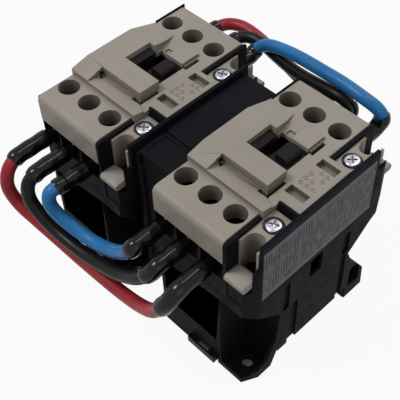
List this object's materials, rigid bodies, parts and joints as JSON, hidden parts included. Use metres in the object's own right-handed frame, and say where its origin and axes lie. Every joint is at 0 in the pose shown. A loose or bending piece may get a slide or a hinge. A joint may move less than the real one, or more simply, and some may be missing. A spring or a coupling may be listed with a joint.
{
  "type": "reversing motor starter",
  "caption": "Reversing motor starter: two three-pole contactors with cream covers on black bases, a mechanical interlock between them and link wires at both ends.",
  "frame": {"origin": "On the mounting plane of the bases, midway between the two contactors and midway along them", "axes": "+X from the left contactor to the right one, -Y to the load side where the wires cross, +Z from the mounting plane to the operating side"},
  "size_m": [0.107, 0.1243, 0.082],
  "materials": {
    "black_moulding": "fine-grained black moulding with a low sheen",
    "cream_moulding": "smooth cream moulding, satin",
    "carrier_moulding": "black glass-filled moulding",
    "magnet_steel": "laminated sheet steel, ground pole faces",
    "copper_wire": "enamelled copper wire",
    "spring_steel": "bright drawn spring wire",
    "contact_copper": "stamped copper alloy",
    "plated_steel": "zinc plated steel",
    "plate_foil": "grey printed plate, left blank of text",
    "red_insulation": "red insulation, softly glossy",
    "black_insulation": "black insulation, glossy",
    "blue_insulation": "blue insulation, softly glossy",
    "sleeve_plastic": "black shrink sleeve, glossy"
  },
  "bodies": {
    "frame": {"left_base": "black_moulding", "left_housing": "black_moulding", "left_cover": "cream_moulding", "left_aux_shrouds": "cream_moulding", "left_core": "magnet_steel", "left_coil_bobbin": "carrier_moulding", "left_coil_winding": "copper_wire", "left_return_springs": "spring_steel", "left_fixed_contacts": "contact_copper", "left_terminal_screws": "plated_steel", "left_coil_terminals": "plated_steel", "left_latch_spring": "spring_steel", "right_base": "black_moulding", "right_housing": "black_moulding", "right_cover": "cream_moulding", "right_aux_shrouds": "cream_moulding", "right_core": "magnet_steel", "right_coil_bobbin": "carrier_moulding", "right_coil_winding": "copper_wire", "right_return_springs": "spring_steel", "right_fixed_contacts": "contact_copper", "right_terminal_screws": "plated_steel", "right_coil_terminals": "plated_steel", "right_latch_spring": "spring_steel", "rating_plate": "plate_foil", "interlock_body": "black_moulding", "interlock_lid": "black_moulding", "interlock_screws": "plated_steel", "interlock_pin": "plated_steel", "near_wire_1": "red_insulation", "near_wire_2": "black_insulation", "near_wire_3": "blue_insulation", "far_wire_1": "red_insulation", "far_wire_2": "black_insulation", "far_wire_3": "blue_insulation", "shrink_sleeves": "sleeve_plastic", "wire_ferrules": "contact_copper"},
    "left_carrier_set": {"left_carrier": "carrier_moulding", "left_armature": "magnet_steel", "left_moving_contacts": "contact_copper", "left_contact_springs": "spring_steel"},
    "left_latch": {"left_rail_latch": "carrier_moulding"},
    "left_lock_slide": {"interlock_left_slide": "cream_moulding"},
    "right_carrier_set": {"right_carrier": "carrier_moulding", "right_armature": "magnet_steel", "right_moving_contacts": "contact_copper", "right_contact_springs": "spring_steel"},
    "right_latch": {"right_rail_latch": "carrier_moulding"},
    "right_lock_slide": {"interlock_right_slide": "cream_moulding"},
    "lock_rocker": {"interlock_rocker": "cream_moulding"}
  },
  "joints": [
    {"name": "left_carrier_slide", "type": "slide", "parent": "frame", "child": "left_carrier_set", "axis": [0, 0, -1], "range_m": [0, 0.005], "stiffness_N_per_m": 900, "springref_m": -0.002, "deforming": ["left_return_springs"]},
    {"name": "left_lock_drive", "type": "slide", "parent": "frame", "child": "left_lock_slide", "axis": [0, 0, -1], "range_m": [0, 0.005]},
    {"name": "left_latch_slide", "type": "slide", "parent": "frame", "child": "left_latch", "axis": [0, -1, 0], "range_m": [0, 0.003], "stiffness_N_per_m": 1500, "springref_m": -0.002, "deforming": ["left_latch_spring"]},
    {"name": "right_carrier_slide", "type": "slide", "parent": "frame", "child": "right_carrier_set", "axis": [0, 0, -1], "range_m": [0, 0.005], "stiffness_N_per_m": 900, "springref_m": -0.002, "deforming": ["right_return_springs"]},
    {"name": "right_lock_drive", "type": "slide", "parent": "frame", "child": "right_lock_slide", "axis": [0, 0, -1], "range_m": [0, 0.005]},
    {"name": "right_latch_slide", "type": "slide", "parent": "frame", "child": "right_latch", "axis": [0, -1, 0], "range_m": [0, 0.003], "stiffness_N_per_m": 1500, "springref_m": -0.002, "deforming": ["right_latch_spring"]},
    {"name": "rocker_tilt", "type": "hinge", "parent": "frame", "child": "lock_rocker", "pos_m": [0, 0, 0.021], "axis": [1, 0, 0], "range_deg": [-6, 6]}
  ],
  "couplings": [
    {"joint": "left_lock_drive", "follows": "left_carrier_slide", "ratio": 1},
    {"joint": "right_lock_drive", "follows": "right_carrier_slide", "ratio": 1}
  ]
}
